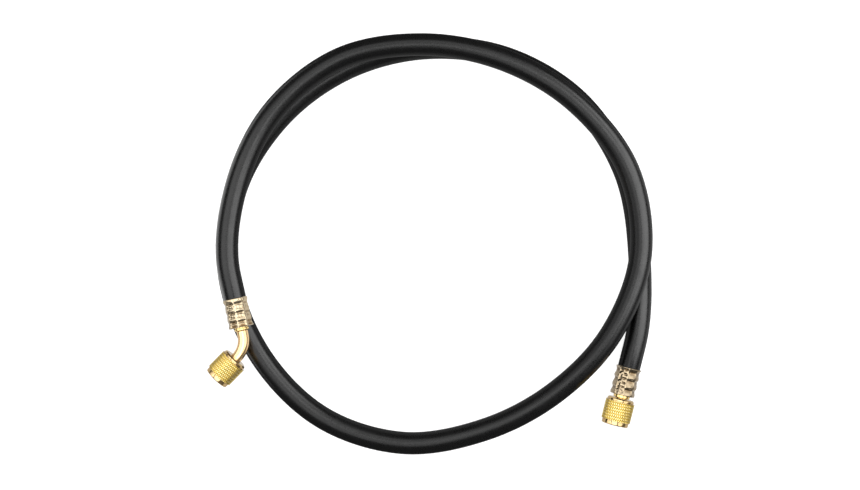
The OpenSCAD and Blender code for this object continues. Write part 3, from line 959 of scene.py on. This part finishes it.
def finish_tree(tree, geometry, material, out):
    """Ends a tree in plain geometry with its material."""
    real = add(tree, "GeometryNodeRealizeInstances", {"Geometry": geometry}).outputs[0]
    dressed = add(tree, "GeometryNodeSetMaterial", {"Geometry": real, "Material": material})
    tree.links.new(dressed.outputs[0], out.inputs[0])


def make_knurl_tree():
    """Diamond knurl round a band from the origin up, with a row of teeth centred on each end."""
    tree, given, out = geometry_tree("diamond knurl", {
        "Root Radius": "Float", "Length": "Float", "Depth": "Float", "Teeth Around": "Int",
        "Rows": "Int", "Flat": "Float", "Material": "Material"})
    around = given["Teeth Around"]
    rows = calc(tree, "ADD", given["Rows"], 2.0)
    points = add(tree, "GeometryNodePoints", {"Count": calc(tree, "MULTIPLY", rows, around)})
    index = add(tree, "GeometryNodeInputIndex").outputs[0]
    row = calc(tree, "FLOOR", calc(tree, "DIVIDE", calc(tree, "ADD", index, 0.5), around))
    column = calc(tree, "SUBTRACT", index, calc(tree, "MULTIPLY", row, around))
    shift = calc(tree, "MULTIPLY", calc(tree, "MODULO", row, 2.0), 0.5)
    turn = calc(tree, "DIVIDE", calc(tree, "MULTIPLY", calc(tree, "ADD", column, shift), 2 * pi), around)
    row_step = calc(tree, "DIVIDE", given["Length"], calc(tree, "ADD", given["Rows"], 1.0))
    radial = vector(tree, calc(tree, "COSINE", turn), calc(tree, "SINE", turn))
    reach = add(tree, "ShaderNodeVectorMath", {0: radial, "Scale": given["Root Radius"]},
                operation="SCALE").outputs[0]
    lift = vector(tree, z=calc(tree, "MULTIPLY", row, row_step))
    place = add(tree, "ShaderNodeVectorMath", {0: reach, 1: lift}, operation="ADD").outputs[0]
    placed = add(tree, "GeometryNodeSetPosition", {"Geometry": points.outputs[0], "Position": place})
    tooth = add(tree, "GeometryNodeMeshCone", {"Vertices": 4, "Radius Bottom": TOOTH_BASE,
                "Radius Top": given["Flat"], "Depth": given["Depth"]})
    position = add(tree, "GeometryNodeInputPosition").outputs[0]
    height = add(tree, "ShaderNodeSeparateXYZ", {0: position}).outputs["Z"]
    # Deep at a tooth's foot and level from near its crest on; the knurl's colour darkens with it as
    # painted shade.
    valley = remap(tree, calc(tree, "DIVIDE", height, given["Depth"]), 0.0, 0.8, 0.9, 0.0)
    marked = add(tree, "GeometryNodeStoreNamedAttribute", {"Geometry": tooth.outputs["Mesh"],
                 "Name": "groove", "Value": valley}, data_type="FLOAT", domain="POINT")
    facing = add(tree, "FunctionNodeAxesToRotation", {"Primary Axis": radial, "Secondary Axis": UP},
                 primary_axis="Z", secondary_axis="Y")
    tooth_pitch = calc(tree, "DIVIDE", calc(tree, "MULTIPLY", given["Root Radius"], 2 * pi), around)
    size = vector(tree, tooth_pitch, calc(tree, "MULTIPLY", row_step, 2.0), 1.0)
    teeth = add(tree, "GeometryNodeInstanceOnPoints", {"Points": placed.outputs[0],
                "Instance": marked.outputs[0], "Rotation": facing.outputs[0], "Scale": size})
    finish_tree(tree, teeth.outputs[0], given["Material"], out)
    return tree


def make_thread_tree():
    """Internal thread: a ridge with a flat crest swept along a helix from the origin up."""
    tree, given, out = geometry_tree("internal thread", {
        "Major Radius": "Float", "Minor Radius": "Float", "Pitch": "Float", "Length": "Float",
        "Material": "Material"})
    turns = calc(tree, "DIVIDE", given["Length"], given["Pitch"])
    helix = add(tree, "GeometryNodeCurveSpiral", {"Resolution": THREAD_STEPS, "Rotations": turns,
                "Start Radius": given["Major Radius"], "End Radius": given["Major Radius"],
                "Height": given["Length"]})
    upright = add(tree, "GeometryNodeSetCurveNormal", {"Curve": helix.outputs[0]}, mode="Z_UP")
    crest = calc(tree, "SUBTRACT", given["Major Radius"], given["Minor Radius"])
    foot = calc(tree, "MULTIPLY", crest, -RIDGE_SINK)
    corners = ((foot, -RIDGE_BASE), (crest, -RIDGE_CREST), (crest, RIDGE_CREST), (foot, RIDGE_BASE))
    profile = add(tree, "GeometryNodeCurvePrimitiveQuadrilateral", mode="POINTS")
    for k, (inwards, half_width) in enumerate(corners):
        corner = vector(tree, inwards, calc(tree, "MULTIPLY", given["Pitch"], half_width))
        tree.links.new(corner, profile.inputs["Point " + str(k + 1)])
    swept = add(tree, "GeometryNodeCurveToMesh", {"Curve": upright.outputs[0],
                "Profile Curve": profile.outputs[0], "Fill Caps": True})
    finish_tree(tree, swept.outputs[0], given["Material"], out)
    return tree


KNURL_TREE = make_knurl_tree()
THREAD_TREE = make_thread_tree()


def cut_level(mesh, low, high):
    """Cuts a mesh off below and above two heights, and closes the cuts."""
    work = bmesh.new()
    work.from_mesh(mesh)
    for height, outward in ((low, -1), (high, 1)):
        cut = bmesh.ops.bisect_plane(
            work, geom=work.verts[:] + work.edges[:] + work.faces[:], dist=WELD,
            plane_co=(0, 0, height), plane_no=(0, 0, outward), clear_outer=True)
        rim = [item for item in cut["geom_cut"] if isinstance(item, bmesh.types.BMEdge)]
        bmesh.ops.holes_fill(work, edges=rim, sides=0)
    work.to_mesh(mesh)
    work.free()


def grown(name, tree, end, s, values, cut=None):
    """The plain mesh that a Geometry Nodes tree makes, laid at s along a fitting's axis."""
    seed = bpy.data.objects.new(name + "_seed", bpy.data.meshes.new(name + "_seed"))
    bpy.context.collection.objects.link(seed)
    modifier = seed.modifiers.new("grow", "NODES")
    modifier.node_group = tree
    for item in tree.interface.items_tree:
        if item.in_out == "INPUT":
            modifier[item.identifier] = values[item.name]
    bpy.context.view_layer.update()
    evaluated = seed.evaluated_get(bpy.context.evaluated_depsgraph_get())
    mesh = bpy.data.meshes.new_from_object(evaluated)
    bpy.data.objects.remove(seed)
    mesh.name = name
    if cut:
        cut_level(mesh, *cut)
    mesh.transform(end.matrix() @ Matrix.Translation((0, 0, MM * s)))
    if mesh.uv_layers:
        mesh.uv_layers[0].name = "surface"
    tidy(mesh)
    return mesh


def swivel_nut(body, end, s, d, knurl_l, hole_r, teeth_around, node):
    """A nut's turned body, its knurl and its thread, all on the nut's own body."""
    turned_body = nut_body(body + "_body", end, s, d, knurl_l, hole_r)
    finish_piece(turned_body, NUT_BRASS, body, "nut_brass", node)
    knurl = grown(body + "_knurl", KNURL_TREE, end, s + REAR_RIM_L, {
        "Root Radius": MM * (d / 2 - TOOTH_ROOT), "Length": MM * knurl_l, "Depth": MM * KNURL_DEPTH,
        "Teeth Around": teeth_around, "Rows": KNURL_ROWS, "Flat": TOOTH_FLAT,
        "Material": KNURL_BRASS}, cut=(0, MM * knurl_l))
    finish_piece(knurl, KNURL_BRASS, body, "nut_brass")
    bore_l = REAR_RIM_L + knurl_l + FRONT_RIM_L - MOUTH_CHAMFER - BACK_WALL - RELIEF_L
    thread = grown(body + "_thread", THREAD_TREE, end, s + BACK_WALL + RELIEF_L + THREAD_LEAD, {
        "Major Radius": MM * THREAD_MAJOR_R, "Minor Radius": MM * THREAD_MINOR_R,
        "Pitch": MM * THREAD_PITCH, "Length": MM * (bore_l - THREAD_MARGIN), "Material": NUT_BRASS})
    finish_piece(thread, NUT_BRASS, body, "nut_brass")


swivel_nut("bent_nut", BENT_NUT_END, NUT_SETBACK, d=15.9, knurl_l=11.4, hole_r=TUBE_R + SWIVEL_GAP,
           teeth_around=42, node="bent_end_nut")
swivel_nut("straight_nut", STRAIGHT_END, STRAIGHT_NUT_S, d=16.6, knurl_l=11.0,
           hole_r=STRAIGHT_NECK_R + SWIVEL_GAP, teeth_around=44, node="straight_end_nut")

hose_path = [MM * p for p, _, _ in hose_route()]
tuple(hose_path[0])


# ==== floor, world and lights
# From here on, lengths are in metres.
FLOOR_SIZE = 12
FLOOR_SINK = 0.0002
FLOOR_TONE = 0.3
FLOOR_LIFT = 0.85
MIRRORED_NEAR = 0.25        # how bright mirrors show the floor inside the coil
MIRRORED_FAR = 0.08         # and outside it
COIL_MIDDLE = (0.0018, 0.0006, 0)
COIL_EDGE = (0.1, 0.113)    # where the one runs into the other
AMBIENT = 0.2
CEILING = 0.1
BOUNCE_HEIGHT = 0.0005      # a lamp here faces up, for the light that the floor throws back


def ray_kinds(tree):
    """Whether a ray is from the camera, and whether it is from a mirror or through glass."""
    path = add(tree, "ShaderNodeLightPath").outputs
    mirrored = calc(tree, "MAXIMUM", path["Is Glossy Ray"], path["Is Transmission Ray"])
    return path["Is Camera Ray"], mirrored


def floor_material():
    """Pale floor, lifted to white for the camera. Mirrors show it pale only inside the coil."""
    made, tree, shader = new_material("floor_white")
    shader.inputs["Roughness"].default_value = 0.9
    shader.inputs["Specular IOR Level"].default_value = 0.0
    direct, mirrored = ray_kinds(tree)
    away = add(tree, "ShaderNodeVectorMath", {0: object_coordinates(tree), 1: COIL_MIDDLE},
               operation="DISTANCE").outputs["Value"]
    share = calc(tree, "MAXIMUM", MIRRORED_FAR, remap(tree, away, *COIL_EDGE, MIRRORED_NEAR, 0.0))
    seen = calc(tree, "MAXIMUM", direct,
                calc(tree, "MULTIPLY", mirrored, calc(tree, "DIVIDE", share, FLOOR_LIFT)))
    grey = remap(tree, mirrored, 0.0, 1.0, FLOOR_TONE, 0.0)
    tone = add(tree, "ShaderNodeCombineColor", {"Red": grey, "Green": grey, "Blue": grey})
    tree.links.new(tone.outputs[0], shader.inputs["Base Color"])
    shader.inputs["Emission Color"].default_value = (1, 1, 1, 1)
    tree.links.new(calc(tree, "MULTIPLY", seen, FLOOR_LIFT), shader.inputs["Emission Strength"])
    return made


bpy.ops.mesh.primitive_plane_add(size=FLOOR_SIZE, location=(0, 0, -FLOOR_SINK))
floor_piece = bpy.context.object
floor_piece.name = "floor"
floor_piece.data.materials.append(floor_material())


def studio_world():
    """White for the camera, dark in mirrors, even for soft light."""
    world = bpy.data.worlds.new("studio")
    bpy.context.scene.world = world
    world.use_nodes = True
    tree = world.node_tree
    background = tree.nodes["Background"]
    background.inputs["Color"].default_value = (1, 1, 1, 1)
    direct, mirrored = ray_kinds(tree)
    seen = calc(tree, "MAXIMUM", calc(tree, "MULTIPLY", mirrored, CEILING), direct)
    soft = calc(tree, "SUBTRACT", 1.0, calc(tree, "MAXIMUM", mirrored, direct))
    level = calc(tree, "ADD", seen, calc(tree, "MULTIPLY", soft, AMBIENT))
    tree.links.new(level, background.inputs["Strength"])


studio_world()


def lit_together(name, pieces):
    """A group of pieces that a lamp lights, with the floor under them."""
    group = bpy.data.collections.new(name)
    for piece in (*pieces, floor_piece):
        group.objects.link(piece)
    return group


def softbox(name, across, back, height, radiance, group):
    """A flat lamp over the given spans of X and Y, for one group of pieces."""
    data = bpy.data.lights.new(name, "AREA")
    data.shape = "RECTANGLE"
    data.size = across[1] - across[0]
    data.size_y = back[1] - back[0]
    data.energy = radiance * pi * data.size * data.size_y
    lamp = bpy.data.objects.new(name, data)
    lamp.location = ((across[0] + across[1]) / 2, (back[0] + back[1]) / 2, height)
    if height == BOUNCE_HEIGHT:
        lamp.rotation_euler = (pi, 0, 0)
    lamp.visible_camera = False
    lamp.light_linking.receiver_collection = group
    bpy.context.collection.objects.link(lamp)


hose_pieces = [cover] + inner_layers
metal_pieces = [piece for piece in bpy.context.collection.objects
                if piece.type == "MESH" and piece not in (*hose_pieces, floor_piece)]
HOSE = lit_together("hose_pieces", hose_pieces)
METAL = lit_together("metal_pieces", metal_pieces)

MIDDLE_Y = (-0.42, 0.34)
EVERY_X = (-3.5, 3.5)
LAMPS = (
    # name, span of X, span of Y, height, radiance, what it lights
    ("hose_overhead", (-0.12, 0.12), (-0.1, 0.1), 1.25, 1.1, HOSE),
    ("hose_inner_right", (0.12, 0.8), (-0.3, 0.4), 1.25, 2.35, HOSE),
    ("hose_right", (0.8, 3.2), (-0.6, 1.6), 1.25, 2.2, HOSE),
    ("hose_left", (-1.7, -0.5), (-0.9, 1.0), 1.25, 0.4, HOSE),
    ("hose_back", (-0.5, 0.8), (0.5, 1.05), 1.25, 0.75, HOSE),
    ("hose_fill", (-0.5, -0.12), (-0.7, 0.45), 1.25, 1.15, HOSE),
    ("hose_near_left", (-0.35, -0.17), (-0.12, 0.14), 0.2, 0.8, HOSE),
    ("hose_near_right", (0.24, 1.0), (-0.3, 0.4), 0.3, 0.45, HOSE),
    ("hose_bounce_left", (-0.6, -0.125), (-0.12, 0.25), BOUNCE_HEIGHT, 1.3, HOSE),
    ("hose_bounce_right", (0.13, 0.6), (-0.15, 0.25), BOUNCE_HEIGHT, 0.45, HOSE),
    ("metal_far_left", (-3.5, -1.5), MIDDLE_Y, 0.62, 1.3, METAL),
    ("metal_outer_left", (-1.5, -0.54), MIDDLE_Y, 0.62, 2.1, METAL),
    ("metal_inner_left", (-0.54, -0.42), MIDDLE_Y, 0.62, 3.0, METAL),
    ("metal_middle", (-0.33, 0.215), MIDDLE_Y, 0.62, 3.0, METAL),
    ("metal_inner_right", (0.31, 1.1), MIDDLE_Y, 0.62, 2.2, METAL),
    ("metal_outer_right", (1.1, 3.5), MIDDLE_Y, 0.62, 1.1, METAL),
    ("metal_back", EVERY_X, (0.34, 0.8), 0.62, 1.5, METAL),
    ("metal_far_back", EVERY_X, (0.8, 3.0), 0.62, 0.4, METAL),
    ("metal_front", EVERY_X, (-2.6, -0.42), 0.62, 0.12, METAL),
    ("metal_bounce", (-0.8, 0.8), (-0.8, 0.5), BOUNCE_HEIGHT, 0.72, METAL),
)
for lamp in LAMPS:
    softbox(*lamp)

bpy.context.scene.view_settings.view_transform = "Standard"
